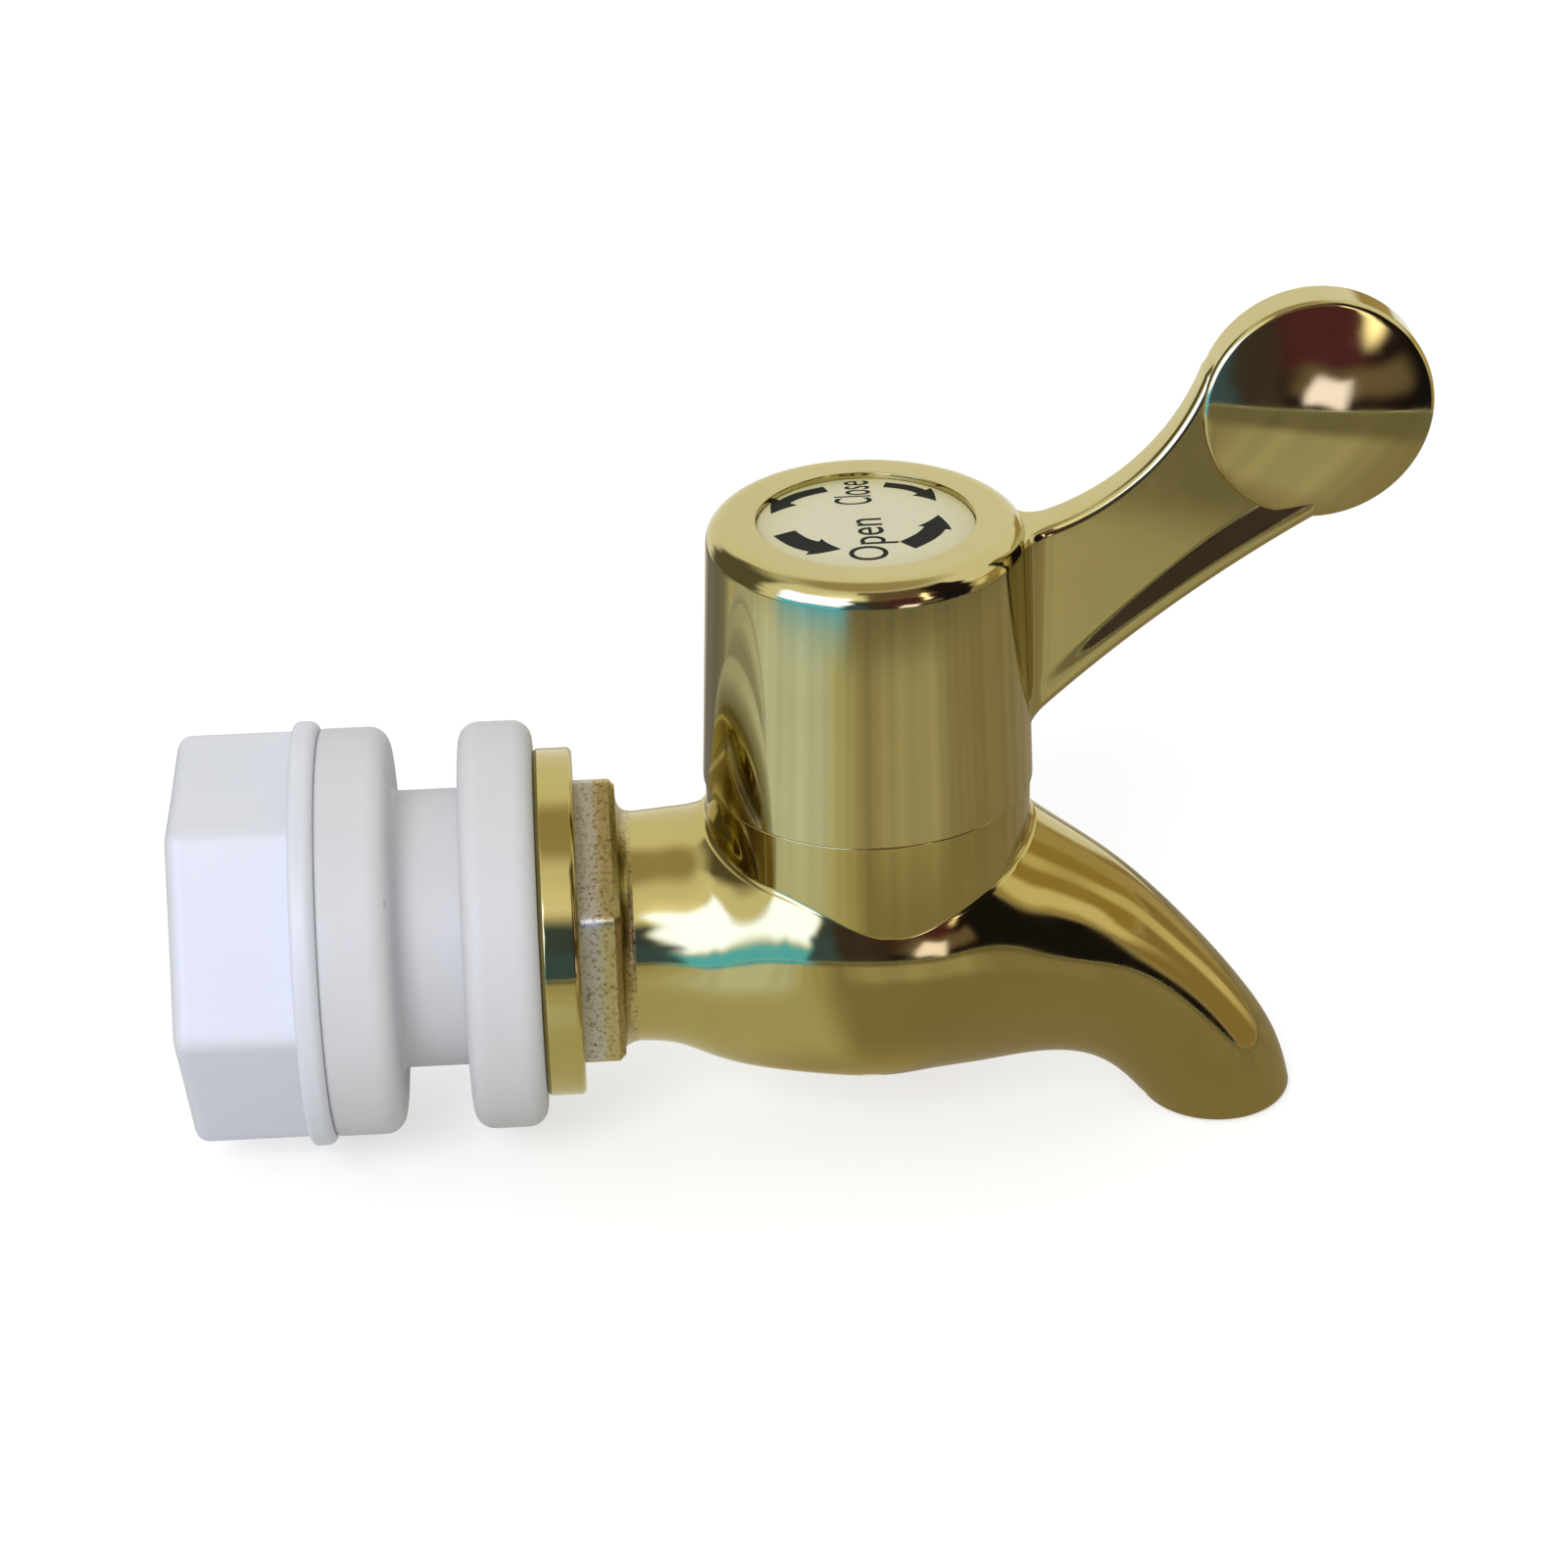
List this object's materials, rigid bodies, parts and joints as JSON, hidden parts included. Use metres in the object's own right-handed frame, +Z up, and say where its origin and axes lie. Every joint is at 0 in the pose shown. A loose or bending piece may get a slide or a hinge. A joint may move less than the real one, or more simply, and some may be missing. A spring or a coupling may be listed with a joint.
{
  "type": "water tank tap",
  "caption": "Gold-finished water tank tap with a lever handle, curved spout and threaded shank, with sealing washers and a plastic lock nut for the tank wall.",
  "frame": {"origin": "centre of the flange's rear sealing face, on the shank's axis", "axes": "+X along the shank from the tank towards the spout, +Z up along the handle's axis, +Y to complete a right-handed frame"},
  "size_m": [0.1101, 0.0382, 0.0788],
  "materials": {
    "gold_plating": "moulded ABS, electroplated to a polished gold mirror finish",
    "index_plastic": "smooth moulded disc, black printed marks",
    "silicone": "satin moulded silicone rubber",
    "nut_plastic": "semi-gloss moulded polypropylene",
    "stainless_steel": "turned, bright",
    "brass": "turned, bare",
    "seal_rubber": "moulded nitrile rubber",
    "ceramic": "lapped alumina",
    "bearing_plastic": "moulded acetal"
  },
  "bodies": {
    "tap_body": {"housing": "gold_plating", "outer_washer": "silicone", "inner_washer": "silicone", "lock_nut": "nut_plastic", "bonnet": "brass", "bonnet_ring": "seal_rubber", "seat_seal": "seal_rubber", "fixed_disc": "ceramic"},
    "lever": {"handle": "gold_plating", "index_disc": "index_plastic", "handle_screw": "stainless_steel", "lock_washer": "stainless_steel", "spindle": "brass", "spindle_ring_lower": "seal_rubber", "spindle_ring_upper": "seal_rubber", "moving_disc": "ceramic", "thrust_washer": "bearing_plastic", "spindle_clip": "stainless_steel", "stop_ring": "bearing_plastic"}
  },
  "joints": [
    {"name": "handle_turn", "type": "hinge", "parent": "tap_body", "child": "lever", "pos_m": [0.0298, 0, 0], "axis": [0, 0, 1], "range_deg": [-90, 90]}
  ]
}
